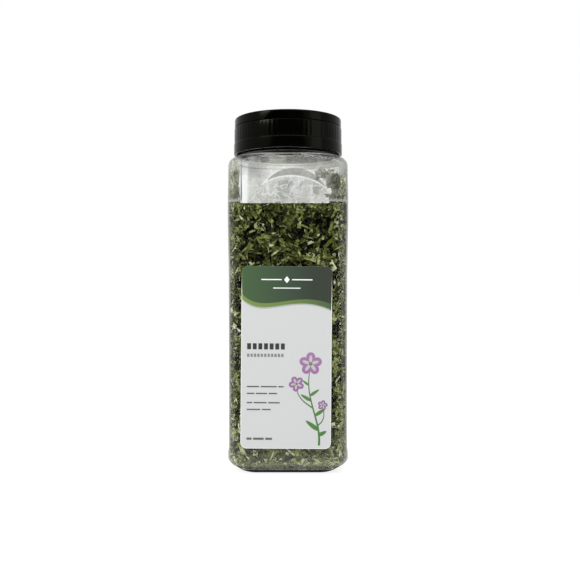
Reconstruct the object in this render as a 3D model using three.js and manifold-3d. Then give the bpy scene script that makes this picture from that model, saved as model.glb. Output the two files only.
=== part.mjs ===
// A tall square clear jar with rounded corners, filled most of the way up with dried chive flakes.
// A round black cap is screwed on its neck, with two flaps: one over a spoon opening, one over
// sifting holes. Millimetres, +Z up, the labelled face towards -Y, standing on its base at z = 0.
import * as THREE from "three";
import { mergeVertices } from "three/addons/utils/BufferGeometryUtils.js";
import Module from "manifold-3d";

const wasm = await Module();
wasm.setup();

// Jar: half widths are measured square to a side, at the middle of that side.
const bumperHalf = 36; // widest level, under the shoulder
const panelHalf = 35.4; // recessed label panel
const footHalf = 27;
const wall = 0.9;
const cornerShare = 0.25; // corner radius as a share of the half width
const shoulderTop = 192.3;
const neckRadius = 30.2;
const neckBore = 28.9;
const neckTop = 208.55;
const pushUp = 2.2; // how far the middle of the base is raised
const baseThickness = 1.4;
const threadRadius = 1.1;
const threadPitch = 5.3;
const threadTurns = 1.15;
const threadStart = 198.2;

// Cap, in its own turned frame: the spoon side towards -Y, the sifting side towards +Y.
const capTurn = THREE.MathUtils.degToRad(-10);
const capBottom = 193.4;
const capLedge = 200; // the grip band above this level is a little narrower than the skirt
const capRadius = 34.2;
const gripRadius = 33.85;
const capBore = 32.2;
const deckTop = 210.2;
const deckThickness = 1.3;
const barHalf = 4.5; // half width of the fixed bar between the flaps
const spoonRadius = 26;
const spoonChord = 8; // distance of the spoon opening's straight edge from the axis
const holeRadius = 2.6;

// Flaps
const clearance = 0.3;
const flapTop = 215.9;
const flapRadius = 33.7;
const plateThickness = 1.4;
const rimThickness = 1.4;
const plugDepth = 1; // how far the spoon flap's rib reaches below the deck's top
const plugClearance = 0.5;
const notchTopWidth = 7.6;
const notchBottomWidth = 17.2;
const notchDepth = 3.2;
const notchLip = 0.7;
const topRounding = 1.1;

// Label
const labelWidth = 53;
const labelBottom = 16;
const labelHeight = 107;
const labelCorner = 3.5;
const labelThickness = 0.25;
const labelShift = -1;
const labelLean = THREE.MathUtils.degToRad(0.45);

// Flakes
const fillLevel = 159;
const flakeGap = 0.35; // kept between every flake and the jar's inner wall
const coreInset = 2.1;
const flakeFloor = 4.1; // no flake reaches lower, so that all clear the raised base
const flakeThickness = 0.7;
const wallRows = 12;
const wallColumns = 17;

// Where flakes cling above the heap: start and end as shares of the way round, counter-clockwise
// from the front end of the +X side, and the level of the top at each end.
const climbs = [
  [0.03, 0.28, 172, 181],
  [0.5, 0.73, 178, 181],
];

const around = 36; // segments round the jar
const capAround = 60; // segments round the cap

// A closed three.js geometry as a manifold-3d solid.
function solidOf(geometry) {
  const bare = geometry.index ? geometry.toNonIndexed() : geometry.clone();
  for (const name of Object.keys(bare.attributes)) {
    if (name !== "position") bare.deleteAttribute(name);
  }
  bare.clearGroups();
  const merged = mergeVertices(bare, 1e-4);
  return new wasm.Manifold(
    new wasm.Mesh({
      numProp: 3,
      vertProperties: merged.attributes.position.array,
      triVerts: new Uint32Array(merged.index.array),
    }),
  );
}

// A manifold-3d solid as a three.js geometry.
function geometryOf(solid) {
  const mesh = solid.getMesh();
  const geometry = new THREE.BufferGeometry();
  geometry.setAttribute("position", new THREE.BufferAttribute(mesh.vertProperties, 3));
  geometry.setIndex(new THREE.BufferAttribute(mesh.triVerts, 1));
  geometry.computeVertexNormals();
  return geometry;
}

// A round solid about +Z from [radius, z] points, which start and end on the axis.
function turned(points, segments) {
  const profile = points.map(([radius, z]) => new THREE.Vector2(radius, z));
  return new THREE.LatheGeometry(profile, segments).rotateX(Math.PI / 2);
}

// A turned solid whose level j is pushed out to a rounded square: share 1 leaves a circle, and a
// smaller share is the corner radius as a share of the half width. Points are [half, z, share].
function squared(points, segments) {
  const geometry = turned(points, segments).rotateZ(Math.PI / segments);
  const position = geometry.attributes.position;
  for (let i = 0; i < position.count; i += 1) {
    const [half, , share] = points[i % points.length];
    const angle = Math.atan2(position.getY(i), position.getX(i));
    const x = half * ((1 - share) * Math.sign(Math.cos(angle)) + share * Math.cos(angle));
    const y = half * ((1 - share) * Math.sign(Math.sin(angle)) + share * Math.sin(angle));
    position.setXY(i, half ? x : 0, half ? y : 0);
  }
  return geometry;
}

// A part of a disc beyond a straight chord, on the -Y side.
function segmentPath(Path, radius, chord) {
  const angle = Math.asin(chord / radius);
  return new Path().absarc(0, 0, radius, Math.PI + angle, 2 * Math.PI - angle, false);
}

function segmentPrism(radius, chord, bottom, top, curveSegments) {
  const options = { depth: top - bottom, bevelEnabled: false, curveSegments };
  const prism = new THREE.ExtrudeGeometry(segmentPath(THREE.Shape, radius, chord), options);
  return prism.translate(0, 0, bottom);
}

// The wall that runs round such a part of a disc, thickness measured inwards.
function segmentWall(radius, chord, thickness, bottom, top, curveSegments) {
  const shape = segmentPath(THREE.Shape, radius, chord);
  shape.closePath();
  const hole = segmentPath(THREE.Path, radius - thickness, chord + thickness);
  hole.closePath();
  shape.holes.push(hole);
  const options = { depth: top - bottom, bevelEnabled: false, curveSegments };
  return new THREE.ExtrudeGeometry(shape, options).translate(0, 0, bottom);
}

class Helix extends THREE.Curve {
  constructor(radius, pitch, turns, bottom) {
    super();
    Object.assign(this, { radius, pitch, turns, bottom });
  }

  getPoint(t, target = new THREE.Vector3()) {
    const angle = 2 * Math.PI * this.turns * t;
    const z = this.bottom + this.pitch * this.turns * t;
    return target.set(this.radius * Math.cos(angle), this.radius * Math.sin(angle), z);
  }
}

// ---- jar ----

const outerProfile = [
  [0, pushUp, cornerShare],
  [19, pushUp - 0.6, cornerShare],
  [23, 0, cornerShare],
  [footHalf, 0, cornerShare],
  [31.2, 2.6, cornerShare],
  [34.4, 5.2, cornerShare],
  [35.75, 8.6, cornerShare],
  [35.75, 12, cornerShare],
  [panelHalf, 14.5, cornerShare],
  [panelHalf, 125, cornerShare],
  [bumperHalf, 140, cornerShare],
  [bumperHalf, 160, cornerShare],
  [35.75, 175, cornerShare],
  [35.65, 183.5, cornerShare],
  [35.15, 186, 0.31],
  [34.3, 188.2, 0.48],
  [33.05, 190.2, 0.69],
  [31.8, 191.6, 0.86],
  [31, shoulderTop, 0.95],
];

const innerProfile = [
  [30.2, 191.4, 0.95],
  [31.1, 190.6, 0.85],
  [32.3, 189.3, 0.68],
  [33.5, 187.5, 0.47],
  [34.3, 185.5, 0.3],
  [34.75, 183, 0.235],
  [34.85, 175, 0.235],
  [bumperHalf - wall, 160, 0.235],
  [bumperHalf - wall, 140, 0.235],
  [panelHalf - wall, 125, 0.235],
  [panelHalf - wall, 13.5, 0.235],
  [34.5, 9.4, 0.235],
  [33.2, 6.2, 0.235],
  [30.4, 3.9, 0.235],
  [27, 2.2, 0.235],
  [22.6, baseThickness, 0.235],
  [18.6, pushUp - 0.6 + baseThickness, 0.235],
  [0, pushUp + baseThickness, 0.235],
];

function jarSolid() {
  const neck = [
    [neckRadius, shoulderTop + 0.1, 1],
    [neckRadius, neckTop, 1],
    [neckBore, neckTop, 1],
    [neckBore, shoulderTop - 0.4, 1],
  ];
  const shell = solidOf(squared([...outerProfile, ...neck, ...innerProfile], around));
  const section = new THREE.Shape().absarc(0, 0, threadRadius, 0, 2 * Math.PI, false);
  const path = new Helix(neckRadius, threadPitch, threadTurns, threadStart);
  const options = { steps: 40, curveSegments: 3, bevelEnabled: false, extrudePath: path };
  return shell.add(solidOf(new THREE.ExtrudeGeometry(section, options)));
}

// Everything under the rounded rim of the closed lid's top.
function underLidTop() {
  const radius = flapRadius + 0.02;
  const edge = flapTop - topRounding;
  const profile = [[0, 150], [radius + 3, 150], [radius + 3, edge]];
  for (let i = 0; i <= 3; i += 1) {
    const angle = (i / 3) * (Math.PI / 2);
    const inward = topRounding * (1 - Math.cos(angle));
    profile.push([radius - inward, edge + topRounding * Math.sin(angle)]);
  }
  profile.push([0, flapTop]);
  return solidOf(turned(profile, 2 * capAround));
}

// ---- cap ----

function capSolid() {
  const ring = turned(
    [
      [0, deckTop - deckThickness],
      [capBore - 0.2, deckTop - deckThickness],
      [capBore, capBottom],
      [capRadius, capBottom],
      [capRadius, capLedge - 0.3],
      [gripRadius, capLedge],
      [gripRadius - 0.1, deckTop],
      [0, deckTop],
    ],
    capAround,
  );
  const barTop = flapTop;
  const bar = new THREE.BoxGeometry(2 * capRadius, 2 * barHalf, barTop - deckTop + 0.5);
  bar.translate(0, 0, (barTop + deckTop - 0.5) / 2);
  const disc = turned([[0, 200], [flapRadius, 200], [flapRadius, 220], [0, 220]], capAround);
  const middle = solidOf(bar).intersect(solidOf(disc));
  const low = deckTop - deckThickness - 1;
  const spoon = segmentPrism(spoonRadius, spoonChord, low, deckTop + 1, 20);
  let cap = solidOf(ring).add(middle).subtract(solidOf(spoon));
  for (const [count, y] of [[4, 12], [3, 21.5]]) {
    for (let i = 0; i < count; i += 1) {
      const hole = new THREE.CylinderGeometry(holeRadius, holeRadius, deckThickness + 2, 12);
      hole.rotateX(Math.PI / 2).translate((i - (count - 1) / 2) * 11, y, deckTop - deckThickness / 2);
      cap = cap.subtract(solidOf(hole));
    }
  }
  return cap.intersect(underLidTop());
}

// ---- flaps ----

// One flap on the -Y side: a plate with a wall round its edge, a thumb notch in the middle of its
// rim and a rib below. The rib of the spoon flap reaches into the opening and the other stops short.
function flapSolid(ribBottom, ribRadius, ribChord) {
  const chord = barHalf + clearance;
  const bottom = deckTop + clearance;
  const under = flapTop - plateThickness;
  const plate = segmentPrism(flapRadius, chord, under, flapTop, 30);
  const rim = segmentWall(flapRadius, chord, rimThickness, bottom, under + 0.2, 30);
  const rib = segmentWall(ribRadius, ribChord, 1, ribBottom, under + 0.2, 16);
  let flap = solidOf(plate).add(solidOf(rim));
  const notch = new THREE.Shape([
    new THREE.Vector2(-notchBottomWidth / 2, bottom - 1),
    new THREE.Vector2(notchBottomWidth / 2, bottom - 1),
    new THREE.Vector2(notchBottomWidth / 2, bottom),
    new THREE.Vector2(notchTopWidth / 2, flapTop - notchLip),
    new THREE.Vector2(-notchTopWidth / 2, flapTop - notchLip),
    new THREE.Vector2(-notchBottomWidth / 2, bottom),
  ]);
  const cut = new THREE.ExtrudeGeometry(notch, { depth: notchDepth + 2, bevelEnabled: false });
  cut.rotateX(Math.PI / 2).translate(0, -flapRadius + notchDepth, 0);
  const back = new THREE.BoxGeometry(notchBottomWidth + 3, rimThickness, under + 0.2 - bottom);
  back.translate(0, -flapRadius + notchDepth + rimThickness / 2, (under + 0.2 + bottom) / 2);
  flap = flap.subtract(solidOf(cut)).add(solidOf(back));
  return flap.add(solidOf(rib)).intersect(underLidTop());
}

// ---- label ----

function labelGeometry() {
  const x = labelWidth / 2;
  const z = labelHeight / 2;
  const r = labelCorner;
  const shape = new THREE.Shape();
  shape.absarc(x - r, -z + r, r, -Math.PI / 2, 0, false);
  shape.absarc(x - r, z - r, r, 0, Math.PI / 2, false);
  shape.absarc(-x + r, z - r, r, Math.PI / 2, Math.PI, false);
  shape.absarc(-x + r, -z + r, r, Math.PI, 1.5 * Math.PI, false);
  const options = { depth: labelThickness, bevelEnabled: false, curveSegments: 4 };
  const sheet = new THREE.ExtrudeGeometry(shape, options).rotateX(Math.PI / 2);
  return sheet.rotateY(labelLean);
}

// ---- flakes ----

// Repeatable random numbers from 0 to 1.
function randomFrom(seed) {
  let state = seed;
  return () => {
    state = (state * 1664525 + 1013904223) % 4294967296;
    return state / 4294967296;
  };
}

// Half width of the jar's inside at a level, from the points of its wall.
function insideHalf(z) {
  const wallPoints = innerProfile.filter(([half]) => half > footHalf - 1).reverse();
  const above = wallPoints.findIndex(([, level]) => level >= z);
  if (above < 0) return wallPoints[wallPoints.length - 1][0];
  if (above === 0) return wallPoints[0][0];
  const [half0, z0] = wallPoints[above - 1];
  const [half1, z1] = wallPoints[above];
  return half0 + ((half1 - half0) * (z - z0)) / (z1 - z0);
}

const insideCorner = 8;

// How far a point lies outside the space that the flakes may fill.
function outside({ x, y, z }) {
  const half = insideHalf(z) - flakeGap;
  const dx = Math.max(Math.abs(x) - half + insideCorner, 0);
  const dy = Math.max(Math.abs(y) - half + insideCorner, 0);
  return Math.hypot(dx, dy) - insideCorner;
}

// The wall point and outward normal at a share, 0 to 1, of the way round the inside at a level.
function wallPlace(share, z) {
  const half = insideHalf(z) - flakeGap;
  const flat = 2 * (half - insideCorner);
  const arc = (insideCorner * Math.PI) / 2;
  const side = Math.floor(share * 4);
  const along = (share * 4 - side) * (flat + arc);
  const turn = (side * Math.PI) / 2;
  const bend = Math.max(along - flat, 0) / insideCorner;
  const local = new THREE.Vector3(half, Math.min(along, flat) - flat / 2, z);
  if (bend > 0) {
    const centre = half - insideCorner;
    local.x = centre + insideCorner * Math.cos(bend);
    local.y = centre + insideCorner * Math.sin(bend);
  }
  const normal = new THREE.Vector3(Math.cos(bend + turn), Math.sin(bend + turn), 0);
  return { point: local.applyAxisAngle(new THREE.Vector3(0, 0, 1), turn), normal };
}

// One torn, slightly curled flake, flat on XY before it is turned.
function flakeGeometry(random, length, width) {
  const flake = new THREE.BoxGeometry(width, length, flakeThickness, 1, random() < 0.3 ? 2 : 1, 1);
  const position = flake.attributes.position;
  const taper = 0.3 + 0.5 * random();
  const skew = (random() - 0.5) * width * 0.5;
  const curl = (random() - 0.3) * 0.32 * length;
  for (let i = 0; i < position.count; i += 1) {
    const t = position.getY(i) / length;
    position.setX(i, position.getX(i) * (1 - taper * Math.abs(t)) + skew * t);
    position.setZ(i, position.getZ(i) + curl * 4 * t * t);
  }
  return flake;
}

// A flake placed with its middle at point, its flat side facing normal and tipped from it, then
// drawn back along the normal until it is inside the jar.
function placedFlake(random, point, normal, tipLow, tipHigh, size) {
  const length = size * (0.8 + 0.4 * random());
  const flake = flakeGeometry(random, length, length * (0.5 + 0.25 * random()));
  const facing = new THREE.Quaternion().setFromUnitVectors(new THREE.Vector3(0, 0, 1), normal);
  const spin = new THREE.Quaternion().setFromAxisAngle(normal, 2 * Math.PI * random());
  const across = new THREE.Vector3(1, 0, 0).applyQuaternion(facing).applyQuaternion(spin);
  const tip = tipLow + (tipHigh - tipLow) * random();
  const tipped = new THREE.Quaternion().setFromAxisAngle(across, THREE.MathUtils.degToRad(tip));
  const turn = tipped.multiply(spin).multiply(facing);
  flake.applyQuaternion(turn).translate(point.x, point.y, point.z);
  const position = flake.attributes.position;
  for (let pass = 0; pass < 3; pass += 1) {
    let most = 0;
    for (let i = 0; i < position.count; i += 1) {
      most = Math.max(most, outside(new THREE.Vector3().fromBufferAttribute(position, i)));
    }
    const level = Math.abs(normal.z) > 0.5;
    const back = level ? new THREE.Vector3(point.x, point.y, 0).normalize() : normal;
    flake.translate(-back.x * most, -back.y * most, 0);
  }
  flake.computeBoundingBox();
  const sunk = flakeFloor - flake.boundingBox.min.z;
  return sunk > 0 ? flake.translate(0, 0, sunk) : flake;
}

// Height of the heap's top: level in the middle, a little higher against the walls.
function heapTop(x, y) {
  const edge = Math.max(Math.abs(x), Math.abs(y)) / panelHalf;
  return fillLevel - 2.2 + 1.6 * edge ** 4 + 0.9 * Math.sin(x * 0.31 + 1) * Math.cos(y * 0.27);
}

function heapCore() {
  const share = 0.22;
  const reach = flakeGap + coreInset;
  const half = panelHalf - wall - reach;
  const points = [
    [0, pushUp + baseThickness + 1.4, share],
    [19, pushUp + baseThickness + 0.9, share],
    [27, 5.2, share],
    [half - 1.2, 10.5, share],
    [half, 15, share],
    [half, 126, share],
    [half + 0.5, 140, share],
    [half + 0.5, fillLevel, share],
    [half * 0.78, fillLevel, share],
    [half * 0.5, fillLevel, share],
    [half * 0.22, fillLevel, share],
    [0, fillLevel, share],
  ];
  const core = squared(points, 20);
  const position = core.attributes.position;
  for (let i = 0; i < position.count; i += 1) {
    const z = position.getZ(i);
    if (z > fillLevel - 0.01) position.setZ(i, heapTop(position.getX(i), position.getY(i)) - 1);
  }
  return solidOf(core);
}

// A thin bank of flakes that clings to the wall above the heap, from share0 to share1 of the way
// round, its top sloping from top0 to top1.
function clingingBank(share0, share1, top0, top1) {
  const steps = 8;
  const corners = [];
  for (let i = 0; i <= steps; i += 1) {
    const share = share0 + ((share1 - share0) * i) / steps;
    const top = top0 + ((top1 - top0) * i) / steps;
    corners.push({ share, top });
  }
  const depth = 2.6;
  let bank = null;
  for (let i = 0; i < steps; i += 1) {
    const top = (corners[i].top + corners[i + 1].top) / 2;
    const z = fillLevel - 8;
    const a = wallPlace(corners[i].share, 150);
    const b = wallPlace(corners[i + 1].share, 150);
    const out = a.normal.clone().add(b.normal).normalize();
    const middle = a.point.clone().add(b.point).multiplyScalar(0.5);
    const width = a.point.distanceTo(b.point) + 1;
    const slab = new THREE.BoxGeometry(depth, width, top - z);
    slab.rotateZ(Math.atan2(out.y, out.x));
    const inset = 1.5 + depth / 2;
    slab.translate(middle.x - out.x * inset, middle.y - out.y * inset, (top + z) / 2);
    bank = bank ? bank.add(solidOf(slab)) : solidOf(slab);
  }
  return bank;
}

function flakesSolid() {
  const random = randomFrom(20715);
  const pieces = [];
  for (let row = 0; row < wallRows; row += 1) {
    for (let column = 0; column < wallColumns; column += 1) {
      const z = 6 + ((fillLevel - 11) * (row + 0.5 + 0.3 * (random() - 0.5))) / wallRows;
      const share = ((column + 0.5 * (row % 2) + 0.3 * random()) / wallColumns) % 1;
      const { point, normal } = wallPlace(share, z);
      pieces.push(placedFlake(random, point, normal, 14, 26, 9.8));
    }
  }
  const up = new THREE.Vector3(0, 0, 1);
  for (let i = 0; i < 5; i += 1) {
    for (let j = 0; j < 5; j += 1) {
      const x = (i - 2) * 12.6 + 5 * (random() - 0.5);
      const y = (j - 2) * 12.6 + 5 * (random() - 0.5);
      const point = new THREE.Vector3(x, y, heapTop(x, y) - 0.4);
      pieces.push(placedFlake(random, point, up, 15, 50, 10));
    }
  }
  const down = new THREE.Vector3(0, 0, -1);
  for (let i = 0; i < 16; i += 1) {
    const x = ((i % 4) - 1.5) * 13 + 4 * (random() - 0.5);
    const y = (Math.floor(i / 4) - 1.5) * 13 + 4 * (random() - 0.5);
    pieces.push(placedFlake(random, new THREE.Vector3(x, y, flakeFloor + 0.9), down, 10, 20, 10));
  }
  for (const [share0, share1, top0, top1] of climbs) {
    const count = Math.round((share1 - share0) * 30);
    for (let i = 0; i < count; i += 1) {
      const t = (i + 0.5) / count;
      const top = top0 + (top1 - top0) * t;
      for (let z = fillLevel + 3; z < top; z += 9) {
        const { point, normal } = wallPlace(share0 + (share1 - share0) * t, z + 3 * random());
        pieces.push(placedFlake(random, point, normal, 14, 28, 9.5));
      }
    }
  }
  let flakes = heapCore();
  for (const climb of climbs) flakes = flakes.add(clingingBank(...climb));
  for (const piece of pieces) flakes = flakes.add(solidOf(piece));
  const bodies = flakes.decompose().sort((a, b) => b.volume() - a.volume());
  return bodies[0]; // a flake that misses the heap is left out
}

// ---- materials and assembly ----

const clearPlastic = new THREE.MeshStandardMaterial({
  color: 0xe9eeee,
  roughness: 0.08,
  metalness: 0,
  transparent: true,
  opacity: 0.25,
});
const blackPlastic = new THREE.MeshStandardMaterial({ color: 0x101211, roughness: 0.22, metalness: 0 });
const paper = new THREE.MeshStandardMaterial({ color: 0xd9dbda, roughness: 0.5, metalness: 0 });
const driedChive = new THREE.MeshStandardMaterial({ color: 0x56652f, roughness: 0.85, metalness: 0 });

function named(name, geometry, material) {
  const mesh = new THREE.Mesh(geometry, material);
  mesh.name = name;
  return mesh;
}

function capGroup() {
  const group = new THREE.Group();
  const ribTop = deckTop + clearance;
  const spoonRib = spoonRadius - plugClearance;
  const spoonFlap = flapSolid(deckTop - plugDepth, spoonRib, spoonChord + plugClearance);
  const sifterFlap = flapSolid(ribTop, spoonRadius + 2, spoonChord - 1);
  const sifter = named("sifter_flap", geometryOf(sifterFlap), blackPlastic.clone());
  sifter.rotation.z = Math.PI;
  group.add(named("cap", geometryOf(capSolid()), blackPlastic.clone()));
  group.add(named("spoon_flap", geometryOf(spoonFlap), blackPlastic.clone()));
  group.add(sifter);
  group.rotation.z = capTurn;
  return group;
}

const group = new THREE.Group();
group.add(named("jar", geometryOf(jarSolid()), clearPlastic));
group.add(named("chive_flakes", geometryOf(flakesSolid()), driedChive));
const label = named("front_label", labelGeometry(), paper);
label.position.set(labelShift, -panelHalf - clearance, labelBottom + labelHeight / 2);
group.add(label);
group.add(capGroup());

export default group;
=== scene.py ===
import math
import bmesh
import bpy
import numpy as np
from mathutils import Matrix, Vector


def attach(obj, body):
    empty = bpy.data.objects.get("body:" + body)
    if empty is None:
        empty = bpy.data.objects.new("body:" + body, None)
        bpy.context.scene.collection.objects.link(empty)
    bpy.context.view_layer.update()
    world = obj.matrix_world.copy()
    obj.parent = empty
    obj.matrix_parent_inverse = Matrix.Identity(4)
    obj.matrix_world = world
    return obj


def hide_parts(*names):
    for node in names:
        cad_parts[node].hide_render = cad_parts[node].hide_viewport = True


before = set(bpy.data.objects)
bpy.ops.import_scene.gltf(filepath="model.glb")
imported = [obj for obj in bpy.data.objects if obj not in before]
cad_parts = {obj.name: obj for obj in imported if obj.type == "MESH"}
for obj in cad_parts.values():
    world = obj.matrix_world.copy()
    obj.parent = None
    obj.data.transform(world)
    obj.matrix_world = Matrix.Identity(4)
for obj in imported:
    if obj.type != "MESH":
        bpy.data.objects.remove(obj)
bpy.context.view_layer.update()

# Lengths are written in millimetres and turned into metres by mm. Only the studio's are in metres.
mm = 0.001
tiny = 1e-4  # points nearer than this are one
fullTurn = 2 * math.pi
capTurn = math.radians(-10)  # the cap's turn about the jar's axis


# Helpers for meshes


def filleted(corners, steps=5, most=0.49):
    # corners are [radius, z, fillet, corner share]; a fillet takes at most a share of each side
    points = [Vector((radius, z, share[0] if share else 1)) for radius, z, _, *share in corners]
    path = []
    for i, here in enumerate(points):
        fillet = corners[i][2]
        if not fillet or i in (0, len(corners) - 1):
            path.append(here)
            continue
        toBefore, toAfter = points[i - 1] - here, points[i + 1] - here
        reach = fillet / math.tan(toBefore.xy.angle(toAfter.xy) / 2)
        start, end = (here + side * min(reach / side.xy.length, most) for side in (toBefore, toAfter))
        for step in range(steps + 1):
            t = step / steps
            path.append(start * (1 - t) ** 2 + here * 2 * t * (1 - t) + end * t**2)
    return path


def spun(path, steps):
    # a full turn of a [radius, z] path about the jar's axis
    bm = bmesh.new()
    share = bm.verts.layers.float.new("share")
    points = [bm.verts.new((p.x, 0, p.y)) for p in path]
    for vert, p in zip(points, path):
        vert[share] = p.z
    edges = [bm.edges.new(pair) for pair in zip(points, points[1:])]
    bmesh.ops.spin(
        bm, geom=points + edges, cent=(0, 0, 0), axis=(0, 0, 1), dvec=(0, 0, 0),
        angle=fullTurn, steps=steps, use_merge=True, use_normal_flip=False,
    )
    bmesh.ops.remove_doubles(bm, verts=bm.verts, dist=tiny)
    bmesh.ops.recalc_face_normals(bm, faces=bm.faces)
    return bm


def squaredUp(bm, steps):
    # turns each round level into a rounded square whose corner radius is a share of its half width
    bmesh.ops.rotate(bm, cent=(0, 0, 0), matrix=Matrix.Rotation(math.pi / steps, 3, "Z"), verts=bm.verts)
    layer = bm.verts.layers.float["share"]
    for vert in bm.verts:
        half = math.hypot(vert.co.x, vert.co.y)
        if half < tiny:
            continue
        share = vert[layer]
        angle = math.atan2(vert.co.y, vert.co.x)
        for axis, part in enumerate((math.cos(angle), math.sin(angle))):
            vert.co[axis] = half * ((1 - share) * math.copysign(1, part) + share * part)


def finished(name, bm, material, body, nodes, turn=0.0, smooth=40):
    # a bmesh in millimetres becomes a piece in metres that rides on its body
    bmesh.ops.transform(bm, matrix=Matrix.Rotation(turn, 4, "Z") @ Matrix.Scale(mm, 4), verts=bm.verts)
    mesh = bpy.data.meshes.new(name)
    bm.to_mesh(mesh)
    bm.free()
    return dressed(name, mesh, material, body, nodes, smooth)


def dressed(name, mesh, material, body, nodes, smooth):
    piece = inScene(name, mesh)
    mesh.materials.append(material)
    if smooth:
        mesh.shade_smooth()
        mesh.set_sharp_from_angle(angle=math.radians(smooth))
    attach(piece, body)
    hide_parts(*nodes)
    return piece


def inScene(name, data):
    thing = bpy.data.objects.new(name, data)
    bpy.context.scene.collection.objects.link(thing)
    return thing


def carved(bm, toolBm):
    # one bmesh less another, returned as a bmesh
    pair = []
    for part in (bm, toolBm):
        mesh = bpy.data.meshes.new("carving")
        part.to_mesh(mesh)
        part.free()
        pair.append(inScene("carving", mesh))
    blank, tool = pair
    modifier = blank.modifiers.new("carve", "BOOLEAN")
    modifier.operation = "DIFFERENCE"
    modifier.solver = "EXACT"
    modifier.object = tool
    bpy.context.view_layer.update()
    evaluated = blank.evaluated_get(bpy.context.evaluated_depsgraph_get())
    result = bmesh.new()
    result.from_mesh(evaluated.to_mesh())
    evaluated.to_mesh_clear()
    for piece in pair:
        mesh = piece.data
        bpy.data.objects.remove(piece)
        bpy.data.meshes.remove(mesh)
    bmesh.ops.remove_doubles(result, verts=result.verts, dist=tiny)
    return result


def raised(bm, faces, height):
    # extrudes flat faces straight up and keeps the solid closed
    extruded = bmesh.ops.extrude_face_region(bm, geom=faces, use_keep_orig=True)
    moved = [g for g in extruded["geom"] if isinstance(g, bmesh.types.BMVert)]
    bmesh.ops.translate(bm, vec=(0, 0, height), verts=moved)
    bmesh.ops.recalc_face_normals(bm, faces=bm.faces)


def keptSide(bm, point, outward):
    # cuts away what lies outward of a plane
    geometry = bm.verts[:] + bm.edges[:] + bm.faces[:]
    bmesh.ops.bisect_plane(bm, geom=geometry, dist=tiny, plane_co=point, plane_no=outward, clear_outer=True)


# Helpers for materials


def newMaterial(name):
    material = bpy.data.materials.new(name)
    material.use_nodes = True
    material.node_tree.nodes.clear()
    return material, material.node_tree


def addNode(tree, kind, values=None, **settings):
    node = tree.nodes.new(kind)
    for key, value in settings.items():
        setattr(node, key, value)
    for key, value in (values or {}).items():
        if isinstance(value, bpy.types.NodeSocket):
            tree.links.new(value, node.inputs[key])
        else:
            node.inputs[key].default_value = value
    return node


def maths(tree, operation, a, b=0.0, clamp=False):
    return addNode(tree, "ShaderNodeMath", {0: a, 1: b}, operation=operation, use_clamp=clamp).outputs[0]


def times(tree, *factors):
    total = factors[0]
    for factor in factors[1:]:
        total = maths(tree, "MULTIPLY", total, factor)
    return total


def plus(tree, *terms):
    total = terms[0]
    for term in terms[1:]:
        total = maths(tree, "ADD", total, term)
    return total


def oneLess(tree, value):
    return maths(tree, "SUBTRACT", 1.0, value)


def atLeast(tree, factor, least):
    # squeezes 0 to 1 into least to 1
    return plus(tree, times(tree, factor, 1 - least), least)


def ramped(tree, value, span, unit=mm):
    # 0 at the first end of span, 1 at the second, straight between and level beyond
    settings = {"Value": value, "From Min": span[0] * unit, "From Max": span[1] * unit}
    return addNode(tree, "ShaderNodeMapRange", settings).outputs[0]


def isNear(tree, value, middle, reach):
    # 1 within reach of middle and 0 elsewhere
    values = {0: value, 1: middle * mm, 2: reach * mm}
    return addNode(tree, "ShaderNodeMath", values, operation="COMPARE").outputs[0]


def distanceFrom(tree, place, spot):
    values = {0: place, 1: tuple(c * mm for c in spot)}
    return addNode(tree, "ShaderNodeVectorMath", values, operation="DISTANCE").outputs["Value"]


def axesOf(tree, place):
    return addNode(tree, "ShaderNodeSeparateXYZ", {0: place}).outputs


def objectPlace(tree):
    return addNode(tree, "ShaderNodeTexCoord").outputs["Object"]


def noiseOn(tree, place, scale, detail=3.0, roughness=0.55):
    values = {"Vector": place, "Scale": scale, "Detail": detail, "Roughness": roughness}
    return addNode(tree, "ShaderNodeTexNoise", values).outputs["Fac"]


def colourRamp(tree, factor, stops):
    ramp = addNode(tree, "ShaderNodeValToRGB", {"Fac": factor})
    elements = ramp.color_ramp.elements
    while len(elements) < len(stops):
        elements.new(0.5)
    for element, (position, colour) in zip(elements, stops):
        element.position = position
        element.color = (*colour, 1)
    return ramp.outputs["Color"]


def mixedColour(tree, factor, first, second):
    values = {0: factor, 6: first, 7: second}
    return addNode(tree, "ShaderNodeMix", values, data_type="RGBA").outputs[2]


def mixedShader(tree, factor, first, second):
    return addNode(tree, "ShaderNodeMixShader", {0: factor, 1: first.outputs[0], 2: second.outputs[0]})


def bumped(tree, height, strength, distance):
    values = {"Height": height, "Strength": strength, "Distance": distance * mm}
    return addNode(tree, "ShaderNodeBump", values).outputs[0]


def hexColour(text):
    # an sRGB hex colour as linear numbers
    channels = [int(text[i : i + 2], 16) / 255 for i in (0, 2, 4)]
    return tuple(c / 12.92 if c <= 0.04045 else ((c + 0.055) / 1.055) ** 2.4 for c in channels)


def surface(tree, shader):
    addNode(tree, "ShaderNodeOutputMaterial", {"Surface": shader.outputs[0]})


def principled(tree, colour, roughness, shine, bump=(0, 0, 0), tint=(1, 1, 1, 1)):
    values = {
        "Base Color": colour, "Roughness": roughness, "Specular IOR Level": shine, "Specular Tint": tint,
        "Normal": bump,
    }
    surface(tree, addNode(tree, "ShaderNodeBsdfPrincipled", values))


# Camera, floor and light

view = dict(
    distance=459 * mm,  # from the jar's axis
    eyeHeight=119 * mm,
    focalPixels=722,
    framePixels=580,
    eyeRow=273,
    axisColumn=288,
)


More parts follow.
